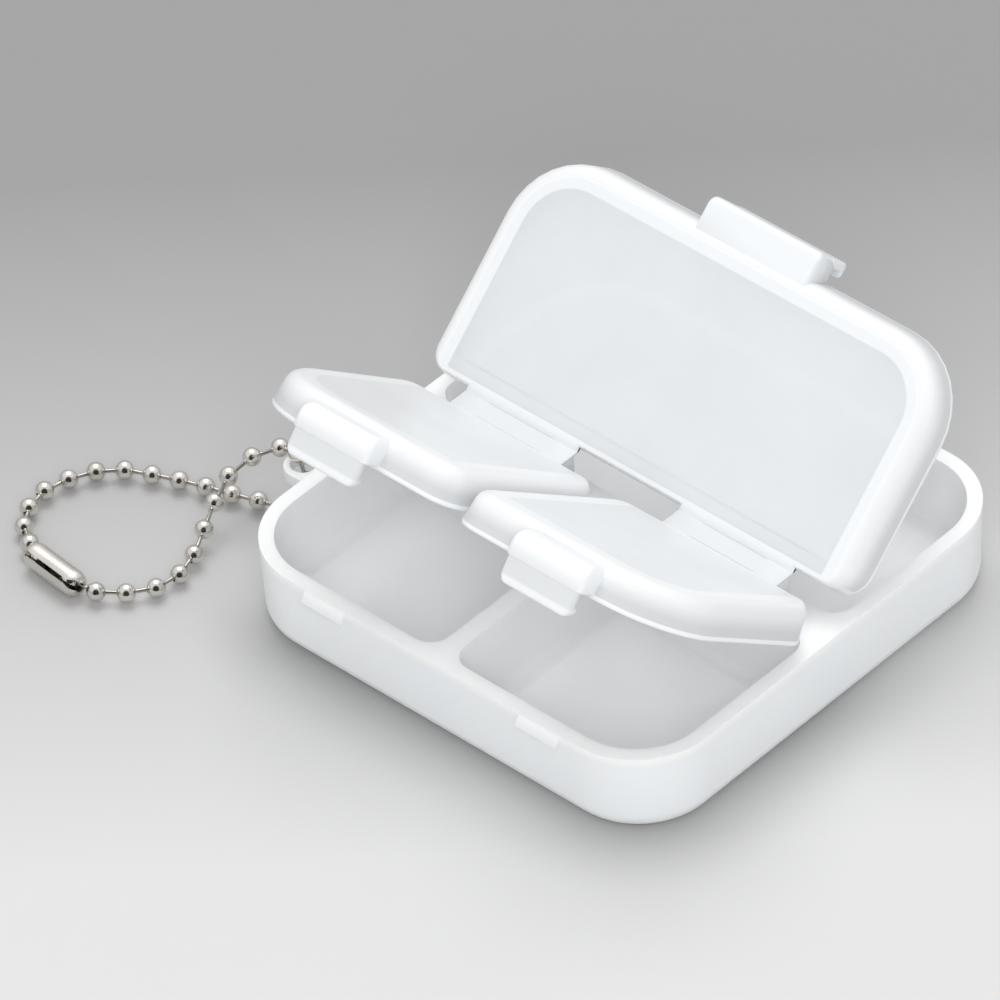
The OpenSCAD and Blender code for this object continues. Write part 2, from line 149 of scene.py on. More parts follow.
class BoxSizes(bpy.types.PropertyGroup):
    """Sizes of the tray and lids."""

    tray_w: length("Tray width", "Outer width of the tray's rim", 0.068)
    tray_d: length("Tray depth", "Outer depth of the tray's rim", 0.0676)
    rim_z: length("Rim height", "Height of the tray's rim", 0.012)
    corner_r: length("Corner radius", "Radius of the tray's upright corners", 0.0108)
    wall: length("Wall", "Thickness of the tray's walls", 0.0019)
    lid_rise: length("Lid rise", "Height of the closed lids' top above the rim", 0.0049)
    lid_t: length("Lid top", "Thickness of a lid's top", 0.001)
    skirt_t: length("Skirt", "Thickness of a lid's skirt", 0.0013)
    rib_t: length("Rib", "Thickness of the sealing rib inside a lid", 0.0013)
    rib_reach: length("Rib reach", "How far the rib reaches below the rim", 0.0003)
    edge_r: length("Lid edge radius", "Radius of the rounded edge round a lid's top", 0.0018)
    lid_corner_r: length("Hinge corner radius", "Radius of the lids' corners at the hinges", 0.0036)
    draft: length("Lid draft", "How far a lid's skirt draws in towards its top", 0.0008)
    lid_inset: length("Lid inset", "How far the skirts stand in from the tray's faces", 0.0002)
    lid_gap: length("Lid gap", "Clearance between a closed lid and the tray", 0.0001)
    lids_apart: length("Lids apart", "Gap between the two front lids", 0.001)


class TabSizes(bpy.types.PropertyGroup):
    """Sizes of the latch tabs."""

    small_w: length("Small tab width", "Width of a front lid's tab at its shoulder", 0.0117)
    large_w: length("Large tab width", "Width of the large lid's tab", 0.0176)
    large_x: length("Large tab place", "How far the large tab lies to the right of the middle", 0.0006)
    step: length("Tab step", "How far a front tab's plate stands in at each side of its shoulder", 0.0004)
    out: length("Tab reach", "How far a tab stands out of the tray's wall", 0.0029)
    thick: length("Tab thickness", "Thickness of the hanging plate", 0.0012)
    drop: length("Shoulder drop", "Depth of a front tab's shoulder below the lid's top", 0.0008)
    large_drop: length("Large shoulder drop", "Depth of the large tab's shoulder below the lid's top", 0.0002)
    shoulder_r: length("Shoulder radius", "Radius of the rounded shoulder", 0.0018)
    low: length("Tab depth", "Depth of the tab's lower end below the lid's top", 0.0076)
    hook: length("Hook", "How far the hook stands in from the hanging plate", 0.0008)


class HingeSizes(bpy.types.PropertyGroup):
    """Sizes of the hinge blocks and films."""

    width: length("Block width", "Width of each hinge block and its films", 0.018)
    place: length("Block place", "Distance of each block's middle from the box's middle", 0.01715)
    film_t: length("Film thickness", "Thickness of the films", 0.0005)
    crease_l: length("Crease length", "Length of the thin crease in each film", 0.0104)
    crease_w: length("Crease width", "Width of the thin crease", 0.00042)


class ChainSizes(bpy.types.PropertyGroup):
    """Sizes of the ball chain."""

    ball_d: length("Ball diameter", "Diameter of a ball", 0.0024)
    wire_d: length("Wire diameter", "Diameter of the links between the balls", 0.0005)
    clasp_d: length("Clasp diameter", "Diameter of the clasp's tube", 0.0034)
    clasp_l: length("Clasp length", "Length of the clasp", 0.0094)
    slot_w: length("Clasp slot", "Width of the slot along the clasp", 0.0006)
    slot_turn: angle("Slot turn", "Turn of the slot from the top towards the inside of the loop", 50)
    upper_balls: IntProperty(name="Upper balls", description="Balls from the lug's top to the clasp",
                             default=12, min=3)
    lower_balls: IntProperty(name="Lower balls", description="Balls from the clasp to the lug's underside",
                             default=16, min=3)


class Finishes(bpy.types.PropertyGroup):
    """Colours and clearness of the finishes."""

    tray: colour("Tray", "Frosted plastic of the tray", (0.885, 0.91, 0.93))
    lid: colour("Front lids", "Frosted plastic of the front lids", (0.90, 0.92, 0.935))
    large: colour("Large lid", "Frosted plastic of the large lid", (0.845, 0.87, 0.89))
    film: colour("Hinges", "Plastic of the hinge blocks and films", (0.735, 0.76, 0.775))
    nickel: colour("Nickel", "Nickel plating of the chain", (0.80, 0.77, 0.72))
    lid_body: share("Lid opacity", "Opacity of one face of the large lid's flat top", 0.80)
    front_body: share("Front lid opacity", "Opacity of one face of a front lid's flat top", 0.93)


class StageSettings(bpy.types.PropertyGroup):
    """Camera, floor and lamps."""

    azimuth: angle("Azimuth", "Turn of the camera round the box", 44.08)
    elevation: angle("Elevation", "Height of the camera above the horizon", 41.16)
    roll: angle("Roll", "Tilt of the camera about its own axis", -3.04)
    distance: length("Distance", "Distance of the camera from the point that it aims at", 1.5)
    aim: FloatVectorProperty(name="Aim", description="Point at the middle of the picture", size=3,
                             default=(-0.01363, -0.00649, 0.01134), subtype="TRANSLATION", unit="LENGTH")
    lens: FloatProperty(name="Lens", description="Focal length in millimetres", default=449.82, min=1.0,
                        subtype="DISTANCE_CAMERA")
    floor_near: colour("Floor in front", "Colour of the floor near the camera", (0.705, 0.705, 0.705))
    floor_far: colour("Floor behind", "Colour of the floor behind the box", (0.316, 0.316, 0.316))
    key: power("Key lamp", "Power of the large lamp above, behind on the left", 10.5)
    fill: power("Fill lamp", "Power of the soft lamp on the camera's side", 5.65)
    sky: FloatProperty(name="Sky", description="Strength of the even light from all round", default=0.68,
                       min=0.0)


GROUPS = {"box_sizes": BoxSizes, "tab_sizes": TabSizes, "hinge_sizes": HingeSizes,
          "chain_sizes": ChainSizes, "box_finishes": Finishes, "box_stage": StageSettings}


# Shapes

def corner_rings(sides, radii, steps=8):
    """Rounded rectangles, one a row: each corner is a quarter circle about its own centre.

    sides is (rows, 4) of left, right, front and rear; radii is (rows, 4) from the front left corner round.
    """
    turn = np.linspace(0, math.pi / 2, steps + 1)
    parts = []
    for k, (ix, iy) in enumerate(((0, 2), (1, 2), (1, 3), (0, 3))):
        r = radii[:, k, None]
        cx = sides[:, ix, None] + r * (1 if ix == 0 else -1)
        cy = sides[:, iy, None] + r * (1 if iy == 2 else -1)
        a = turn + math.pi + k * math.pi / 2
        parts.append(np.stack([cx + r * np.cos(a), cy + r * np.sin(a)], -1))
    return np.concatenate(parts, 1)


def stacked(sides, radii, heights, steps=8):
    """Rounded rectangles at their heights, as (rows, points, 3)."""
    flat = corner_rings(sides, radii, steps)
    return np.concatenate([flat, np.broadcast_to(heights[:, None, None], (*flat.shape[:2], 1))], -1)


def grid_faces(rows, columns, wrap=True):
    """Quads between the points of a grid that is numbered row by row, closed round its columns if wrap."""
    i, j = np.meshgrid(np.arange(rows - 1), np.arange(columns if wrap else columns - 1), indexing="ij")
    on = (j + 1) % columns
    quads = np.stack([i * columns + j, i * columns + on, (i + 1) * columns + on, (i + 1) * columns + j], -1)
    return quads.reshape(-1, 4)


def signed_volume(points, faces):
    """Sum over the faces' triangle fans of a sixth of a dot (b cross c), which is negative inside out."""
    total = 0.0
    for face in faces:
        a, b, c = points[face[0]], points[face[1:-1]], points[face[2:]]
        total += float((np.cross(b, c) @ a).sum()) / 6
    return total


def outward(points, faces, light):
    """The solid with its faces turned outwards, as (points, list of faces, light)."""
    faces = [np.asarray(f) for f in faces]
    if signed_volume(points, faces) < 0:
        faces = [f[::-1] for f in faces]
    return points, [f.tolist() for f in faces], light


def ring_solid(rings, light):
    """Closed solid through a stack of rings (rows, points, 3), with a flat cap on its first and last."""
    rows, columns = rings.shape[:2]
    faces = list(grid_faces(rows, columns))
    faces += [np.arange(columns)[::-1], np.arange(columns) + (rows - 1) * columns]
    return outward(rings.reshape(-1, 3), faces, np.repeat(light, columns))


def sheet_solid(top, under, light):
    """Closed solid between two grids (rows, columns, 3): the grids joined by a rim of quads round them."""
    rows, columns = top.shape[:2]
    n = rows * columns
    index = np.arange(n).reshape(rows, columns)
    rim = np.concatenate([index[0], index[1:, -1], index[-1, -2::-1], index[-2:0:-1, 0]])
    on = np.roll(rim, -1)
    faces = list(grid_faces(rows, columns, False)[:, ::-1]) + list(grid_faces(rows, columns, False) + n)
    faces += list(np.stack([rim, on, on + n, rim + n], -1))
    return outward(np.concatenate([top.reshape(-1, 3), under.reshape(-1, 3)]), faces,
                   np.concatenate([light.ravel(), light.ravel()]))


def joined(solids):
    """Several solids as one set of points, faces and light."""
    points, faces, light, start = [], [], [], 0
    for p, f, w in solids:
        points.append(p)
        light.append(w)
        faces += [[i + start for i in face] for face in f]
        start += len(p)
    return np.concatenate(points), faces, np.concatenate(light)


def put_piece(name, solids, materials, body, slots_of=None):
    """Makes one object at the origin from solids in place, smooth but for edges over 50 degrees. slots_of
    is the number of each solid's material."""
    points, faces, light = joined(solids)
    mesh = bpy.data.meshes.new(name)
    mesh.from_pydata(points.tolist(), [], faces)
    for material in materials:
        mesh.materials.append(material)
    if slots_of is not None:
        counts = [len(s[1]) for s in solids]
        mesh.polygons.foreach_set("material_index", np.repeat(slots_of, counts).astype(np.int32))
    mesh.attributes.new("light", "FLOAT", "POINT").data.foreach_set("value", light.astype(np.float32))
    mesh.shade_smooth()
    mesh.set_sharp_from_angle(angle=math.radians(50))
    if mesh.validate():
        raise RuntimeError(f"{name}: its faces are not clean")
    mesh.update()
    piece = bpy.data.objects.new(name, mesh)
    bpy.context.scene.collection.objects.link(piece)
    if body:
        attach(piece, body)
    return piece


def standing(right, back, place):
    """A matrix that puts an object at a place, with its x along right and its z along back."""
    matrix = np.eye(4)
    matrix[:3] = np.stack([right, np.cross(back, right), back, place], 1)
    return Matrix(matrix.tolist())


def raised(points, opening, pivot_y, pivot_z):
    """Points of a closed lid, built as a front lid, turned up by an opening about the front hinge line."""
    y, z = points[..., 1] + pivot_y, points[..., 2] - pivot_z
    c, s = math.cos(opening), math.sin(opening)
    return np.stack([points[..., 0], y * c + z * s - pivot_y, z * c - y * s + pivot_z], -1)


# Materials

def new_material(name):
    """An empty node material with its output and one Principled shader."""
    material = bpy.data.materials.new(name)
    material.use_nodes = True
    tree = material.node_tree
    tree.nodes.clear()
    out = tree.nodes.new("ShaderNodeOutputMaterial")
    shader = tree.nodes.new("ShaderNodeBsdfPrincipled")
    tree.links.new(shader.outputs["BSDF"], out.inputs["Surface"])
    return material, tree, shader


def add(tree, kind, sources=(), **settings):
    """A node with its settings, its inputs in order from numbers or other nodes' outputs."""
    made = tree.nodes.new(kind)
    for key, value in settings.items():
        setattr(made, key, value)
    for k, source in enumerate(sources):
        if source is None:
            continue
        if isinstance(source, bpy.types.NodeSocket):
            tree.links.new(source, made.inputs[k])
        else:
            made.inputs[k].default_value = source
    return made


def noise(tree, place, scale, detail=2.0, roughness=0.5):
    """Noise on the piece's own coordinates; scale is in cycles a metre."""
    made = add(tree, "ShaderNodeTexNoise", (place,))
    made.inputs["Scale"].default_value = scale
    made.inputs["Detail"].default_value = detail
    made.inputs["Roughness"].default_value = roughness
    return made.outputs["Fac"]


def span(tree, value, low, high, to_low=0.0, to_high=1.0, smooth=False):
    """Map Range from low..high to to_low..to_high."""
    made = add(tree, "ShaderNodeMapRange", (value, low, high, to_low, to_high))
    made.interpolation_type = "SMOOTHSTEP" if smooth else "LINEAR"
    return made.outputs["Result"]


def maths(tree, operation, a, b=0.0):
    """One Math node."""
    return add(tree, "ShaderNodeMath", (a, b), operation=operation).outputs[0]


def blend_colours(tree, factor, first, second):
    """Mix of two colours by a factor."""
    made = tree.nodes.new("ShaderNodeMix")
    made.data_type = "RGBA"
    for key, value in (("Factor", factor), ("A", first), ("B", second)):
        socket = made.inputs[key]
        if isinstance(value, bpy.types.NodeSocket):
            tree.links.new(value, socket)
        elif hasattr(value, "__len__"):
            socket.default_value = (*value, 1.0)
        else:
            socket.default_value = value
    return made.outputs["Result"]


def outside_of(tree, place):
    """Level distance past the tray's corner centres: the length of the place's part beyond them, which is
    the corner radius on the tray's outer face."""
    past = add(tree, "ShaderNodeVectorMath", (place,), operation="ABSOLUTE").outputs[0]
    past = add(tree, "ShaderNodeVectorMath", (past, CORNER_CENTRES), operation="SUBTRACT").outputs[0]
    past = add(tree, "ShaderNodeVectorMath", (past, (0.0, 0.0, 0.0)), operation="MAXIMUM").outputs[0]
    return add(tree, "ShaderNodeVectorMath", (past,), operation="LENGTH").outputs["Value"]


def wire_up(tree, shader, base, rough, height, strength):
    """Gives the shader its colour, its roughness and a bump from heights in metres."""
    bump = add(tree, "ShaderNodeBump")
    bump.inputs["Strength"].default_value = strength
    bump.inputs["Distance"].default_value = 1.0
    tree.links.new(height, bump.inputs["Height"])
    tree.links.new(base, shader.inputs["Base Color"])
    tree.links.new(rough, shader.inputs["Roughness"])
    tree.links.new(bump.outputs["Normal"], shader.inputs["Normal"])


def frosted_plastic(name, tint, body=1.0, light_from="attribute", grain=0.12):
    """Frosted moulded polypropylene, with a fine etched grain and slow flow marks in tone and gloss.

    Its tone follows the light attribute, which paints light and shade into it, and body is the opacity of one
    face where that is 0. With light_from "height", for the tray, the plastic scatters light inside it, and
    the
    tone follows the place instead: light is painted on the inner faces, the rim and the thin floor, and shade
    on the middle wall's top; the thin floor is glossier, without scattering.
    """
    material, tree, shader = new_material(name)
    place = add(tree, "ShaderNodeTexCoord").outputs["Object"]
    flow = noise(tree, place, 55.0, 3.0)
    cloud = noise(tree, place, 160.0, 2.0)
    tone = maths(tree, "ADD", maths(tree, "MULTIPLY", flow, 0.5), maths(tree, "MULTIPLY", cloud, 0.22))
    base = blend_colours(tree, tone, [v * 0.965 for v in tint], [min(1.0, v * 1.02) for v in tint])
    rough = span(tree, cloud, 0.3, 0.7, 0.30, 0.40)
    if light_from == "attribute":
        light = add(tree, "ShaderNodeAttribute", attribute_name="light").outputs["Fac"]
        # Painted light and shade from the light attribute: a painted highlight up to 1, the ledge's painted
        # shade at 2, and deeper painted shade past 2 and below 0
        painted_light = blend_colours(tree, light, base, [min(1.0, v * 1.02) for v in tint])
        painted_light = blend_colours(tree, span(tree, light, 1.0, 2.0), painted_light, LEDGE_SHADE_TONE)
        shade = maths(tree, "MAXIMUM", span(tree, light, -1.0, 0.0, 1.0, 0.0), span(tree, light, 2.0, 3.0))
        painted_light = blend_colours(tree, shade, painted_light, SHADE_TONE)
    else:
        split = add(tree, "ShaderNodeSeparateXYZ", (place,))
        flat = add(tree, "ShaderNodeSeparateXYZ", (add(tree, "ShaderNodeTexCoord").outputs["Normal"],))
        level = span(tree, maths(tree, "ABSOLUTE", flat.outputs["Z"]), 0.97, 0.995)
        low = span(tree, split.outputs["Z"], *FLOOR_SPAN, 1.0, 0.0)
        thin = maths(tree, "MULTIPLY", level, low)
        aside, along = (maths(tree, "ABSOLUTE", split.outputs[k]) for k in "XY")
        within = span(tree, outside_of(tree, place), *INSIDE_SPAN, 1.0, 0.0)
        rim = span(tree, split.outputs["Z"], *RIM_SPAN, 0.0, 1.0, True)
        # A lighter tone painted on the inner faces and along the rim, and then on the thin floor, as painted
        # light
        painted_light = blend_colours(tree, maths(tree, "MAXIMUM", within, rim), base, INNER_AND_RIM_LIGHT_TONE)
        painted_light = blend_colours(tree, thin, painted_light, THIN_FLOOR_LIGHT_TONE)
        # Painted shade on the middle wall's top between the hinge blocks
        on_wall = maths(tree, "MULTIPLY", span(tree, along, *LEDGE_SPANS[0], 1.0, 0.0),
                        span(tree, aside, *LEDGE_SPANS[1], 1.0, 0.0))
        ledge = maths(tree, "MULTIPLY", on_wall, span(tree, split.outputs["Z"], *LEDGE_SPANS[2]))
        painted_light = blend_colours(tree, ledge, painted_light, LEDGE_SHADE_TONE)
        rough = add(tree, "ShaderNodeMix", (thin, None, rough, 0.22)).outputs[0]
        tree.links.new(span(tree, thin, 0.0, 1.0, 0.4, 0.0), shader.inputs["Subsurface Weight"])
    if body < 1.0:
        film = span(tree, flow, 0.3, 0.7, body - 0.03, body + 0.03)
        opacity = add(tree, "ShaderNodeMix", (span(tree, light, 0.05, 0.2), None, film, 1.0)).outputs[0]
        tree.links.new(opacity, shader.inputs["Alpha"])
    fine = noise(tree, place, 5200.0, 2.0, 0.6)
    swell = noise(tree, place, 230.0, 1.0)
    height = maths(tree, "ADD", maths(tree, "MULTIPLY", fine, 0.000012),
                   maths(tree, "MULTIPLY", swell, 0.00006))
    wire_up(tree, shader, painted_light, rough, height, grain)
    shader.inputs["IOR"].default_value = 1.49
    shader.inputs["Subsurface Radius"].default_value = (1.0, 1.0, 1.0)
    shader.inputs["Subsurface Scale"].default_value = 0.0025
    return material


def nickel_plate(name, tint, rough_low=0.08, rough_high=0.2):
    """Bright nickel plating with fine rubbed wear and a little tarnish in its tone."""
    material, tree, shader = new_material(name)
    place = add(tree, "ShaderNodeTexCoord").outputs["Object"]
    wear = noise(tree, place, 900.0, 3.0, 0.6)
    patch = noise(tree, place, 240.0, 2.0)
    base = blend_colours(tree, span(tree, patch, 0.3, 0.7), [v * 0.86 for v in tint], tint)
    rough = span(tree, wear, 0.3, 0.7, rough_low, rough_high)
    height = maths(tree, "MULTIPLY", noise(tree, place, 2600.0, 2.0), 0.00001)
    wire_up(tree, shader, base, rough, height, 0.06)
    shader.inputs["Metallic"].default_value = 1.0
    return material


# Chain

def smooth_route(route, steps=8):
    """Smooth curve through a route's points: a cubic between each two, whose slope at a point is half the
    chord between that point's neighbours."""
    padded = np.concatenate([route[:1], route, route[-1:]])
    a, b, c, d = (padded[k:len(padded) - 3 + k, None, :] for k in range(4))
    t = (np.arange(steps) / steps)[None, :, None]
    points = 0.5 * (2 * b + (c - a) * t + (2 * a - 5 * b + 4 * c - d) * t ** 2
                    + (3 * b - a - 3 * c + d) * t ** 3)
    return np.concatenate([points.reshape(-1, 3), route[-1:]])


def even_places(route, count):
    """Places at equal steps of length along the smooth curve."""
    curve = smooth_route(route)
    run = np.concatenate([[0.0], np.cumsum(np.linalg.norm(np.diff(curve, axis=0), axis=1))])
    at = np.linspace(0, run[-1], count)
    return np.stack([np.interp(at, run, curve[:, k]) for k in range(3)], -1)


def axes_along(directions):
    """Frames (n, 3, 3) whose first row runs along each direction and whose third leans upwards."""
    x = directions / np.linalg.norm(directions, axis=-1, keepdims=True)
    y = np.cross([0.0, 0.0, 1.0], x)
    y /= np.linalg.norm(y, axis=-1, keepdims=True)
    return np.stack([x, y, np.cross(x, y)], 1)


def turned_profile(along, radius, columns):
    """Surface of revolution about the first axis: rings of the given radii at the given places."""
    a = np.linspace(0, 2 * math.pi, columns, endpoint=False)
    return np.stack([np.broadcast_to(along[:, None], (len(along), columns)),
                     radius[:, None] * np.cos(a), radius[:, None] * np.sin(a)], -1)


def ball_solid(place, axes, sizes):
    """A ball: a circle turned about the chain's line, with a sunk eye at each end where the links enter."""
    r = sizes.ball_d / 2
    eye = 0.30 * MM
    start = math.asin(eye / r)
    a = np.linspace(start, math.pi - start, 17)
    along = -r * np.cos(a)
    radius = r * np.sin(a)
    along = np.concatenate([[along[0] + 0.25 * MM], along, [along[-1] - 0.25 * MM]])
    radius = np.concatenate([[eye * 0.8], radius, [eye * 0.8]])
    rings = turned_profile(along, radius, 28) @ axes + place
    return ring_solid(rings, np.zeros(len(along)))


def link_solid(a, b, sizes):
    """A wire link between two balls: a cylinder, a little swollen where it enters each of them."""
    axes = axes_along((b - a)[None])[0]
    run = np.linalg.norm(b - a)
    start = sizes.ball_d / 2 - 0.3 * MM
    along = np.linspace(start, run - start, 9)
    edge = np.minimum(along - start, run - start - along)
    radius = sizes.wire_d / 2 * (1 + 0.35 * np.exp(-edge / (0.22 * MM)))
    return ring_solid(turned_profile(along, radius, 12) @ axes + a, np.zeros(9))


def clasp_solid(a, b, sizes):
    """The clasp: a sheet-metal tube with domed ends, rolled up round the balls and open along a slot.

    Its section is a circle less the slot's angle; its radius is full in the middle and follows a quarter
    ellipse at each end, where the slot widens into a mouth for the chain.
    """
    axes = axes_along((b - a)[None])[0]
    middle = (a + b) / 2
    r, half = sizes.clasp_d / 2, sizes.clasp_l / 2
    dome = 1.5 * MM
    s = np.concatenate([-half + dome * (1 - np.cos(np.linspace(0.12, math.pi / 2, 9))),
                        np.linspace(-half + dome, half - dome, 9)[1:-1],
                        half - dome * (1 - np.cos(np.linspace(math.pi / 2, 0.12, 9)))])
    past = np.clip((np.abs(s) - (half - dome)) / dome, 0, 1)
    radius = r * (0.42 + 0.58 * np.sqrt(np.clip(1 - past ** 2, 0, 1)))
    gap = sizes.slot_w / 2 / r + 0.55 * past ** 2
    turn = np.linspace(0, 1, 37)
    around = math.pi / 2 - sizes.slot_turn + gap[:, None] + (2 * math.pi - 2 * gap[:, None]) * turn[None, :]

    def skin(rad):
        local = np.stack([np.broadcast_to(s[:, None], around.shape), rad[:, None] * np.cos(around),
                          rad[:, None] * np.sin(around)], -1)
        return local @ axes + middle

    return sheet_solid(skin(radius), skin(radius - 0.22 * MM), np.zeros(around.shape))


# Lids

def lid_solid(sizes, sides, radii, rib_sides, rib_radii):
    """A closed lid as one skin, built as a front lid: a stack of rounded rectangles from the middle of its
    top, round its edge, down and up its skirt, round the sealing rib and to the middle of its underside.

    A row is an inset from the lid's outline, or from the rib's, with a height and a light value that paints
    light and shade. The top edge is an arc that meets the drafted skirt in line; at the hinge side it is
    drawn in less. Only the flat top's two faces are see-through; the border and the skirt's foot are painted
    a little lighter, the top edge and the skirt are painted in shade, and the skirt low at the hinge side has
    the ledge's painted shade.
    """
    top = sizes.rim_z + sizes.lid_rise
    low = sizes.rim_z + sizes.lid_gap
    under = top - sizes.lid_t
    rise, draft, r = top - low, sizes.draft, sizes.edge_r
    lean = math.atan2(draft, rise)
    slope = math.hypot(rise, draft)
    lip = 0.28 * MM
    rows = []

    def line(*entries):
        rows.extend(("lid", *e) for e in entries)

    def arc(kind, inset, height, radius, start, stop, steps, painted_light):
        for a in np.linspace(start, stop, steps):
            rows.append((kind, inset + radius * math.cos(a), height + radius * math.sin(a), painted_light))

    def drawn_in(z):
        return draft * (z - low) / rise

    centre = (r * slope + (top - r - low) * draft) / rise
    deep = min(sides[1] - sides[0], sides[3] - sides[2]) / 2 - 0.5 * MM
    line((deep, top, 0.0), (TOP_INSETS[0], top, 0.0), (TOP_INSETS[1], top, 0.0), (TOP_INSETS[2], top, 0.3))
    line((centre + 0.3 * MM, top, BORDER_LIGHT))
    # Painted shade on the top edge and, below it, on the skirt
    arc("lid", centre, top - r, r, math.pi / 2, math.pi - lean, 10, EDGE_LIGHT)
    skirt_row = len(rows)
    line(*((drawn_in(z), z, SKIRT_LIGHT) for z in (low + 1.6 * MM, low + 0.7 * MM)))
    foot_row = len(rows)
    arc("lid", lip * (slope + draft) / rise, low + lip, lip, math.pi - lean, 1.5 * math.pi, 5, 0.6)
    arc("lid", sizes.skirt_t - lip * (slope - draft) / rise, low + lip, lip, -math.pi / 2, -lean, 5, 0.8)
    turn = r / 2
    inner = sizes.skirt_t + drawn_in(under - turn) + turn * slope / rise
    arc("lid", inner, under - turn, turn, math.pi - lean, math.pi / 2, 6, 0.4)
    foot = sizes.rim_z - sizes.rib_reach
    soft = 0.25 * MM
    rib = sizes.rib_t
    rows += [("rib", -soft, under, 0.2), ("rib", 0.0, under - soft, 0.3), ("rib", 0.0, foot + soft, 0.6)]
    arc("rib", soft, foot + soft, soft, math.pi, 1.5 * math.pi, 4, 0.8)
    arc("rib", rib - soft, foot + soft, soft, 1.5 * math.pi, 2 * math.pi, 4, 0.8)
    rows += [("rib", rib, under - soft, 0.2), ("rib", rib + soft, under, 0.05),
             ("rib", deep - 2.6 * MM, under, 0.0)]
    kinds = np.array([k == "rib" for k, *_ in rows])[:, None]
    inset, height, painted_light = (np.array([row[k] for row in rows]) for k in (1, 2, 3))
    signs = np.array([1.0, -1.0, 1.0, -1.0])
    pull = np.ones((len(rows), 4))
    pull[~kinds[:, 0] & (height > low + 1.7 * MM) & (np.arange(len(rows)) < foot_row), 3] = 0.3
    all_sides = np.where(kinds, np.array(rib_sides), np.array(sides)) + inset[:, None] * signs * pull
    all_radii = np.maximum(np.where(kinds, np.array(rib_radii), np.array(radii)) - inset[:, None], 0.35 * MM)
    rings = stacked(all_sides, all_radii, height)
    points, faces, light = ring_solid(rings, painted_light)
    # Painted shade low on the skirt at the hinge side, in the ledge's tone
    skirt = (np.arange(len(light)) // rings.shape[1] >= skirt_row) & (points[:, 1] > sides[3] - 0.9 * MM)
    return points, faces, np.where(skirt & (points[:, 2] < low + 2.2 * MM), BAND_LIGHT, light)


def tab_solids(sizes, tab, middle, width, step, drop, plain):
    """A latch tab, closed: its shoulder and its hanging plate, each a stack of level rounded rectangles.

    The shoulder's front and ends draw in by a quarter circle round its upper edge, and its rear lies in
    the skirt's thickness. The plate flares outwards by the square of its depth; its lower corners and its
    end are rounded by arcs, and a hook stands on its inner side. Painted light is high on the shoulder and on
    the plate's lower lip, and the plate's middle is painted in shade, or the light is even all over if plain.
    """
    rim = sizes.rim_z
    top = rim + sizes.lid_rise - drop
    face = -sizes.tray_d / 2
    r, end_r = tab.shoulder_r * (0.5 if plain else 1.0), (0.3 if plain else 0.8) * MM
    a = np.linspace(0, math.pi / 2, 9)
    z = np.concatenate([top - r + r * np.cos(a), [rim + 0.8 * MM, rim + 0.6 * MM]])
    front = np.concatenate([r - r * np.sin(a), [0.0, 0.2 * MM]])
    ends = np.concatenate([end_r - end_r * np.sin(a), [0.0, 0.2 * MM]])
    rear = 0.9 * MM + 1.5 * MM * (z - rim) / sizes.lid_rise
    sides = np.stack([-width / 2 + ends, width / 2 - ends, face - tab.out + front, face + rear], -1)
    radii = np.tile([0.8 * MM, 0.8 * MM, 0.2 * MM, 0.2 * MM], (len(z), 1))
    rings = stacked(sides, radii, z, 5)
    rings[..., 0] += middle
    # Painted highlight on the shoulder, or even painted light if plain
    shoulder = ring_solid(rings, np.full(len(z), 0.5 if plain else 0.95))

    low = rim + sizes.lid_rise - tab.low
    start = rim + 1.3 * MM
    reach = start - low
    tip = 0.4 * MM
    left = np.concatenate([np.linspace(reach, 1.7 * MM, 7), [1.5 * MM, 1.25 * MM, 0.9 * MM, 0.62 * MM],
                           tip - tip * np.sin(np.linspace(0, math.pi / 2, 7))])
    corner = 1.4 * MM
    short = np.clip(corner - left, 0, corner)
    side = width / 2 - step - 0.9 * (corner - np.sqrt(np.clip(corner ** 2 - short ** 2, 0, None)))
    out = face - tab.out + 0.08 * MM - 0.16 * MM * (1 - left / reach) ** 2
    hook = tab.hook * np.clip((1.5 * MM - left) / (0.25 * MM), 0, 1) * np.clip(left / (0.9 * MM) + 0.15, 0, 1)
    thick = tab.thick + hook
    draw = np.where(left < tip, 1 - np.sqrt(np.clip(1 - (1 - left / tip) ** 2, 0.03, 1)), 0.0)
    sides = np.stack([-side, side, out + 0.5 * thick * draw, out + thick * (1 - 0.5 * draw)], -1)
    corners = np.repeat((0.42 * (sides[:, 3] - sides[:, 2]))[:, None], 4, 1)
    rings = stacked(sides, np.minimum(corners, 0.5 * MM), low + left, 5)
    rings[..., 0] += middle
    lip = np.clip(1 - (left - 0.3 * MM) / (0.9 * MM), 0, 1)
    # Painted shade on the plate's middle and a painted highlight on its lower lip, or even painted light if
    # plain
    plate = ring_solid(rings, np.full(len(left), 0.5) if plain else 1.3 * lip - 0.35)
    return [shoulder, plate]


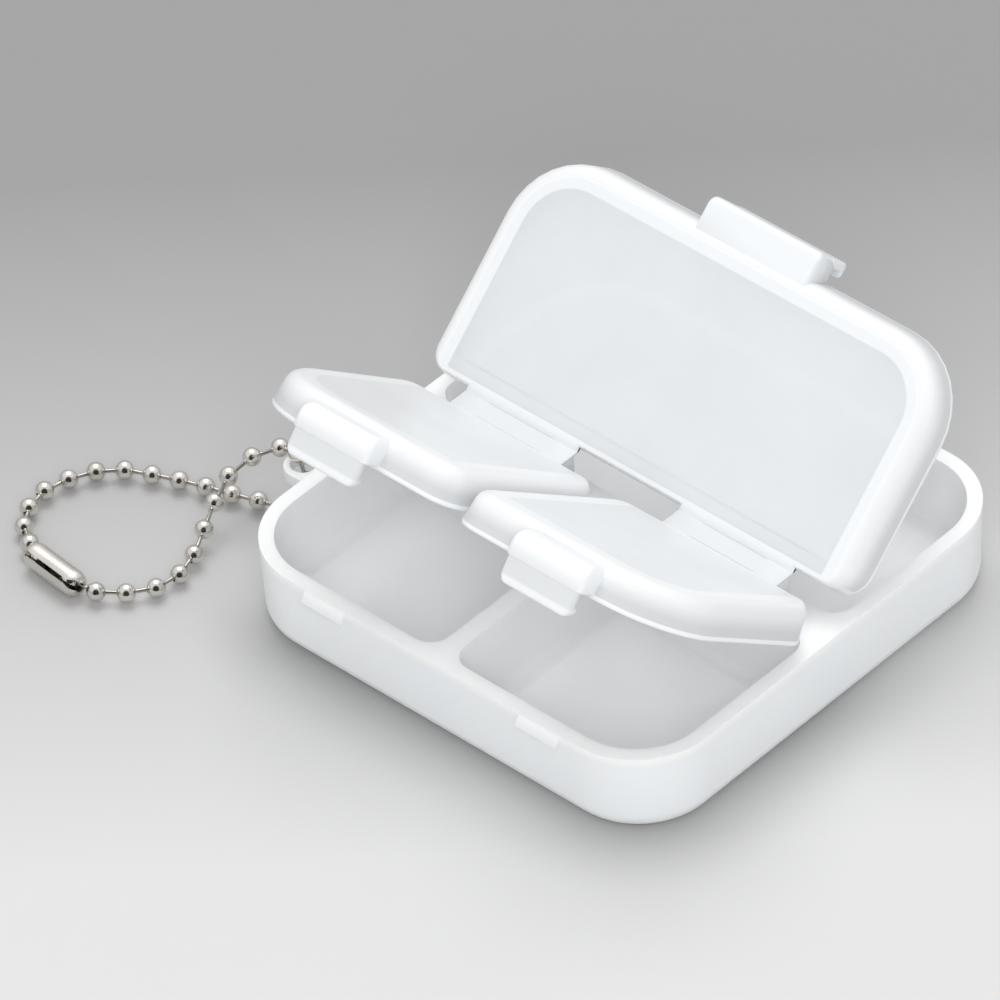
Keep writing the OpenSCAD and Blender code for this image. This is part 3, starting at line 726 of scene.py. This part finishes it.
def lip_solid(hinge, pivot_y, pivot_z, middle, crease_shade):
    """The flat lip that carries a lid's top on to its hinge line: a thin plate whose upper face rises to the
    lid's top, with the same width as the hinge block. Its last argument is how dark the painted shade of the
    crease shows along its edge."""
    edge = pivot_y + 0.14 * MM
    s = np.linspace(0, 1, 7)
    y = -(edge + s * 1.2 * MM)
    across = np.array([-1.0, -0.985, -0.95, -0.61, -0.57, 0, 0.57, 0.61, 0.95, 0.985, 1.0])
    x = middle + hinge.width / 2 * across
    rise = 0.26 * MM + 0.255 * MM * np.sin(np.clip(s * 1.4, 0, 1) * math.pi / 2)
    round_end = np.interp(np.abs(across), [0.95, 0.985, 1.0], [1.0, 0.85, 0.55])
    light = np.full((len(y), len(x)), 0.1)
    # Painted shade of the crease along the lip's edge at the hinge line
    light[:2, 4:-4] -= crease_shade
    grid_x, grid_y = np.meshgrid(x, y)
    top = np.stack([grid_x, grid_y, pivot_z + rise[:, None] * round_end[None]], -1)
    under = np.stack([grid_x, grid_y, pivot_z - 0.28 * MM * np.ones_like(grid_x) * round_end[None]], -1)
    return sheet_solid(top, under, light)


# Hinges

def block_solid(hinge, middle, low, high, half):
    """A hinge block: a stack of rounded rectangles, drawn in round its upper edge by a small arc."""
    r = 0.35 * MM
    a = np.linspace(0, math.pi / 2, 5)
    inset = np.concatenate([[0.3 * MM, 0.0, 0.0], r - r * np.cos(a)])
    z = np.concatenate([[low, low + 0.3 * MM, high - r - 0.3 * MM], high - r + r * np.sin(a)])
    sides = np.stack([middle - hinge.width / 2 + inset, middle + hinge.width / 2 - inset,
                      -half + inset, half - inset], -1)
    return ring_solid(stacked(sides, np.full((len(z), 4), 0.5 * MM), z, 5), np.zeros(len(z)))


def film_solid(hinge, middle, opening, pivot_y, pivot_z, depth):
    """A hinge film at rest, built as a front one: a plate from the block's middle to the lid, bent by the
    lid's opening.

    Its line turns by a smooth step of the opening within half a millimetre of the hinge line. Its upper
    face dips there over the crease's length by depth times half the thickness.
    """
    bend = 0.3 * MM
    s = np.concatenate([np.linspace(0.0, pivot_y - bend, 5),
                        np.linspace(pivot_y - bend, pivot_y + bend, 15)[1:],
                        np.linspace(pivot_y + bend, pivot_y + 1.2 * MM, 4)[1:]])
    fine = np.linspace(s[0], s[-1], 1200)
    step = np.clip((fine - pivot_y + bend) / (2 * bend), 0, 1)
    tilt = opening * step * step * (3 - 2 * step)
    ds = np.gradient(fine)
    y = np.interp(s, fine, -s[0] - np.cumsum(np.cos(tilt) * ds))
    z = np.interp(s, fine, pivot_z + np.cumsum(np.sin(tilt) * ds))
    lean = np.interp(s, fine, tilt)
    half = hinge.width / 2
    ends = half - hinge.crease_l / 2
    right = np.concatenate([np.linspace(half - ends - 0.3 * MM, half - ends + 0.5 * MM, 5),
                            [half - 0.2 * MM, half]])
    x = np.concatenate([-right[::-1], right])
    long = np.clip((hinge.crease_l / 2 + 0.3 * MM - np.abs(x)) / (0.6 * MM), 0, 1)
    dip = np.exp(-((s - pivot_y) / (hinge.crease_w / 2)) ** 2)
    cap = np.where(np.abs(x) > half - 0.1 * MM, 0.6, 1.0)
    up = hinge.film_t / 2 * cap[None, :] * (1 - depth * dip[:, None] * long[None, :])
    down = hinge.film_t / 2 * np.broadcast_to(cap[None, :], up.shape)
    across = np.stack([np.sin(lean), np.cos(lean)], -1)
    grid_x = middle + np.broadcast_to(x[None, :], up.shape)

    def skin(offset):
        return np.stack([grid_x, y[:, None] + across[:, 0, None] * offset,
                         z[:, None] + across[:, 1, None] * offset], -1)

    # Painted shade along the crease, deeper where the face dips more
    return sheet_solid(skin(up), skin(-down), -0.8 * depth * dip[:, None] * long[None, :])


# Operators

class BOX_OT_stage(bpy.types.Operator):
    """Makes the camera, the floor, the lamps and the even light"""

    bl_idname = "pocket_box.make_stage"
    bl_label = "Stage"

    def execute(self, context):
        scene, stage = context.scene, context.scene.box_stage
        scene.view_settings.view_transform = "Standard"
        self.camera(scene, stage)
        self.floor(scene, stage)
        self.lamps(scene, stage)
        self.sky(scene, stage)
        return {"FINISHED"}

    def camera(self, scene, stage):
        a, e, roll = stage.azimuth, stage.elevation, stage.roll
        back = np.array([math.sin(a) * math.cos(e), -math.cos(a) * math.cos(e), math.sin(e)])
        level = np.array([math.cos(a), math.sin(a), 0.0])
        rise = np.cross(back, level)
        right = math.cos(roll) * level + math.sin(roll) * rise
        place = np.array(stage.aim) + back * stage.distance
        data = bpy.data.cameras.new("camera")
        data.lens = stage.lens
        data.sensor_width = 36.0
        data.clip_start = 0.01
        data.clip_end = 50.0
        camera = bpy.data.objects.new("camera", data)
        scene.collection.objects.link(camera)
        camera.matrix_world = standing(right, back, place)
        scene.camera = camera

    def floor(self, scene, stage):
        size, down = 3.0, -0.0003
        mesh = bpy.data.meshes.new("floor")
        mesh.from_pydata([(-size, -size, down), (size, -size, down), (size, size, down), (-size, size, down)],
                         [], [(0, 1, 2, 3)])
        material, tree, shader = new_material("pale_floor")
        place = add(tree, "ShaderNodeTexCoord").outputs["Object"]
        depth = add(tree, "ShaderNodeVectorMath", (place, AWAY), operation="DOT_PRODUCT")
        fade = span(tree, depth.outputs["Value"], *FADE_SPAN)
        mottle = maths(tree, "MULTIPLY", noise(tree, place, 40.0, 3.0), 0.03)
        tone = blend_colours(tree, maths(tree, "ADD", fade, mottle), stage.floor_near, stage.floor_far)
        # Painted contact shadow round the tray's foot, deepest towards its front
        away = outside_of(tree, place)
        front = add(tree, "ShaderNodeVectorMath", (place, SHADE_WAY), operation="DOT_PRODUCT")
        shade = maths(tree, "MULTIPLY", span(tree, away, *SHADE_SPAN, 1.0, 0.0, True),
                      span(tree, front.outputs["Value"], 0.0, 0.02, 0.0, 0.28, True))
        tree.links.new(blend_colours(tree, shade, tone, CONTACT_SHADOW_TONE), shader.inputs["Base Color"])
        shader.inputs["Roughness"].default_value = 0.75
        mesh.materials.append(material)
        floor = bpy.data.objects.new("floor", mesh)
        scene.collection.objects.link(floor)

    def lamps(self, scene, stage):
        for name, place, size, power in (("key_lamp", (-0.45, 0.45, 1.50), 1.1, stage.key),
                                         ("fill_lamp", (0.70, -0.72, 0.875), 0.6, stage.fill)):
            data = bpy.data.lights.new(name, "AREA")
            data.shape = "SQUARE"
            data.size = size
            data.energy = power
            lamp = bpy.data.objects.new(name, data)
            scene.collection.objects.link(lamp)
            lamp.visible_glossy = name == "key_lamp"
            back = np.array(place) / np.linalg.norm(place)
            right = np.cross([0.0, 0.0, 1.0], back)
            right /= np.linalg.norm(right)
            lamp.matrix_world = standing(right, back, place)

    def sky(self, scene, stage):
        world = scene.world or bpy.data.worlds.new("sky")
        scene.world = world
        world.use_nodes = True
        tree = world.node_tree
        tree.nodes.clear()
        out = tree.nodes.new("ShaderNodeOutputWorld")
        background = tree.nodes.new("ShaderNodeBackground")
        way = add(tree, "ShaderNodeTexCoord").outputs["Generated"]
        height = add(tree, "ShaderNodeSeparateXYZ", (way,)).outputs["Z"]
        even = span(tree, height, 0.0, 0.9, 1.15, 0.85, True)
        dome = span(tree, height, -0.1, 0.75, 0.6, 1.35, True)
        front = add(tree, "ShaderNodeVectorMath", (way, DARK_WAY), operation="DOT_PRODUCT")
        dark = span(tree, front.outputs["Value"], 0.70, 0.88, 1.0, 0.05, True)
        gloss = add(tree, "ShaderNodeLightPath").outputs["Is Glossy Ray"]
        mirrored = maths(tree, "MULTIPLY", dome, dark)
        mixed = add(tree, "ShaderNodeMix", (gloss, None, even, mirrored)).outputs[0]
        tree.links.new(maths(tree, "MULTIPLY", mixed, stage.sky), background.inputs["Strength"])
        background.inputs["Color"].default_value = (1.0, 1.0, 1.0, 1.0)
        tree.links.new(background.outputs["Background"], out.inputs["Surface"])


class BOX_OT_chain(bpy.types.Operator):
    """Makes the ball chain with its links and clasp"""

    bl_idname = "pocket_box.make_chain"
    bl_label = "Ball chain"

    def execute(self, context):
        sizes, finish = context.scene.chain_sizes, context.scene.box_finishes
        upper = even_places(UPPER_ROUTE, sizes.upper_balls)[::-1]
        lower = even_places(LOWER_ROUTE, sizes.lower_balls)
        places = np.concatenate([upper, lower])
        ways = np.roll(places, -1, 0) - np.roll(places, 1, 0)
        solids = [ball_solid(p, f, sizes) for p, f in zip(places, axes_along(ways))]
        kinds = [0] * len(solids)
        for k, (a, b) in enumerate(zip(places, np.roll(places, -1, 0))):
            if k == sizes.upper_balls - 1:
                continue
            solids.append(link_solid(a, b, sizes))
            kinds.append(1)
        solids.append(clasp_solid(upper[-1], lower[0], sizes))
        kinds.append(2)
        materials = [nickel_plate("nickel_balls", finish.nickel),
                     nickel_plate("nickel_wire", [v * 0.62 for v in finish.nickel], 0.2, 0.35),
                     nickel_plate("nickel_clasp", [v * 0.97 for v in finish.nickel], 0.22, 0.34)]
        chain = put_piece("ball_chain", solids, materials, "case", kinds)
        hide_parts("chain_links", "chain_clasp", *[f"chain_ball_{k + 1}" for k in range(len(places))])
        return {"FINISHED"}


class BOX_OT_tray(bpy.types.Operator):
    """Gives the tray its frosted plastic"""

    bl_idname = "pocket_box.finish_tray"
    bl_label = "Tray"

    def execute(self, context):
        finish = context.scene.box_finishes
        material = frosted_plastic("frosted_tray", finish.tray, light_from="height")
        tray = frame["nodes"]["tray"]
        tray.data.materials.clear()
        tray.data.materials.append(material)
        return {"FINISHED"}


class BOX_OT_lids(bpy.types.Operator):
    """Makes the three lids with their tabs and hinge lips"""

    bl_idname = "pocket_box.make_lids"
    bl_label = "Lids"

    def execute(self, context):
        scene = context.scene
        sizes, tab, hinge, finish = scene.box_sizes, scene.tab_sizes, scene.hinge_sizes, scene.box_finishes
        front = [frosted_plastic("frosted_front_lid", finish.lid, finish.front_body),
                 frosted_plastic("frosted_tab", finish.lid)]
        large = [frosted_plastic("frosted_large_lid", finish.large, finish.lid_body),
                 frosted_plastic("frosted_large_tab", finish.large)]
        wide, deep = sizes.tray_w / 2 - sizes.lid_inset, sizes.tray_d / 2 - sizes.lid_inset
        far, near = sizes.corner_r - sizes.lid_inset, sizes.lid_corner_r
        play = 0.3 * MM
        rib_far = sizes.corner_r - sizes.wall - play
        rib_near = 2.8 * MM
        rib_x, rib_y = sizes.tray_w / 2 - sizes.wall - play, sizes.tray_d / 2 - sizes.wall - play
        for name, joint in (("left_lid", "left_lid_hinge"), ("right_lid", "right_lid_hinge"),
                            ("large_lid", "large_lid_hinge")):
            pivot = JOINTS[joint]["pos_m"]
            pivot_y, pivot_z = abs(pivot[1]), pivot[2]
            ends = JOINTS[joint]["range_deg"]
            opening = math.radians(-ends[0] if name == "large_lid" else ends[1])
            edge = -(pivot_y + 0.35 * MM)
            inner_edge = edge - sizes.skirt_t - 0.2 * MM
            if name == "large_lid":
                solids = [lid_solid(sizes, [-wide, wide, -deep, edge], [far, far, near, near],
                                    [-rib_x, rib_x, -rib_y, inner_edge],
                                    [rib_far, rib_far, rib_near, rib_near]),
                          *tab_solids(sizes, tab, -tab.large_x, tab.large_w, 0.0, tab.large_drop, True),
                          lip_solid(hinge, pivot_y, pivot_z, -hinge.place, 0.0),
                          lip_solid(hinge, pivot_y, pivot_z, hinge.place, 0.0)]
            else:
                side = -sizes.lids_apart / 2
                solids = [lid_solid(sizes, [-wide, side, -deep, edge], [far, near, near, near],
                                    [-rib_x, side - sizes.skirt_t - 0.2 * MM, -rib_y, inner_edge],
                                    [rib_far, rib_near, rib_near, rib_near]),
                          *tab_solids(sizes, tab, -hinge.place, tab.small_w, tab.step, tab.drop, False),
                          lip_solid(hinge, pivot_y, pivot_z, -hinge.place, 0.9)]
            flip = {"left_lid": (1, 1), "right_lid": (-1, 1), "large_lid": (-1, -1)}[name]
            placed = []
            for points, faces, light in solids:
                points = raised(points, opening, pivot_y, pivot_z) * np.array([*flip, 1])
                placed.append(outward(points, faces, light))
            kinds = [0] + [1] * (len(placed) - 1)
            materials = large if name == "large_lid" else front
            piece = put_piece(name + "_moulding", placed, materials, name, kinds)
            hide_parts(name)
        return {"FINISHED"}


class BOX_OT_hinges(bpy.types.Operator):
    """Makes the hinge blocks and the films that bend between them and the lids"""

    bl_idname = "pocket_box.make_hinges"
    bl_label = "Hinges"

    def execute(self, context):
        scene = context.scene
        hinge, finish = scene.hinge_sizes, scene.box_finishes
        block = frosted_plastic("frosted_block", finish.film)
        thin = frosted_plastic("hinge_film", finish.film, grain=0.06)
        rim = scene.box_sizes.rim_z
        for side, sign in (("left", -1), ("right", 1)):
            middle = sign * hinge.place
            pivot = JOINTS[side + "_lid_hinge"]["pos_m"]
            pivot_y, pivot_z = abs(pivot[1]), pivot[2]
            solid = block_solid(hinge, middle, rim - 0.05 * MM, pivot_z - 0.2 * MM, pivot_y - 0.35 * MM)
            piece = put_piece(side + "_block", [solid], [block], "case")
            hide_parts(side + "_hinge_block")
            for place, joint, body, turn in (("front", side + "_lid_hinge", side + "_lid", 1),
                                             ("rear", "large_lid_hinge", "large_lid", -1)):
                ends = JOINTS[joint]["range_deg"]
                opening = math.radians(-ends[0] if body == "large_lid" else ends[1])
                # The front creases dip deep and carry dark painted shade, the rear ones only a little
                depth = 1.15 if turn > 0 else 0.2
                points, faces, light = film_solid(hinge, middle * turn, opening, pivot_y, pivot_z, depth)
                solid = outward(points * np.array([turn, turn, 1]), faces, light)
                film = put_piece(f"{side}_{place}_film", [solid], [thin], None)
                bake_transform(film)
                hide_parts(f"{side}_{place}_hinge")
        return {"FINISHED"}


class BOX_PT_panel(bpy.types.Panel):
    """Lists the box's sizes and the steps that make it"""

    bl_idname = "BOX_PT_panel"
    bl_label = "Pocket storage box"
    bl_space_type = "VIEW_3D"
    bl_region_type = "UI"
    bl_category = "Pocket Box"

    def draw(self, context):
        layout = self.layout
        for operator in OPERATORS:
            layout.operator(operator.bl_idname)
        for key, group in GROUPS.items():
            box = layout.box()
            box.label(text=group.__doc__.rstrip("."))
            for name in group.__annotations__:
                box.prop(getattr(context.scene, key), name)


OPERATORS = (BOX_OT_stage, BOX_OT_chain, BOX_OT_tray, BOX_OT_lids, BOX_OT_hinges)
CLASSES = (*GROUPS.values(), *OPERATORS, BOX_PT_panel)


def register():
    """Registers the classes and puts the settings on the scene."""
    for cls in CLASSES:
        bpy.utils.register_class(cls)
    for key, group in GROUPS.items():
        setattr(bpy.types.Scene, key, PointerProperty(type=group))


def unregister():
    """Takes the settings and classes away again."""
    for key in GROUPS:
        delattr(bpy.types.Scene, key)
    for cls in reversed(CLASSES):
        bpy.utils.unregister_class(cls)


def main():
    """Makes everything in order."""
    register()
    bpy.ops.pocket_box.make_stage()
    bpy.ops.pocket_box.make_chain()
    bpy.ops.pocket_box.finish_tray()
    bpy.ops.pocket_box.make_lids()
    bpy.ops.pocket_box.make_hinges()


if __name__ == "__main__":
    main()
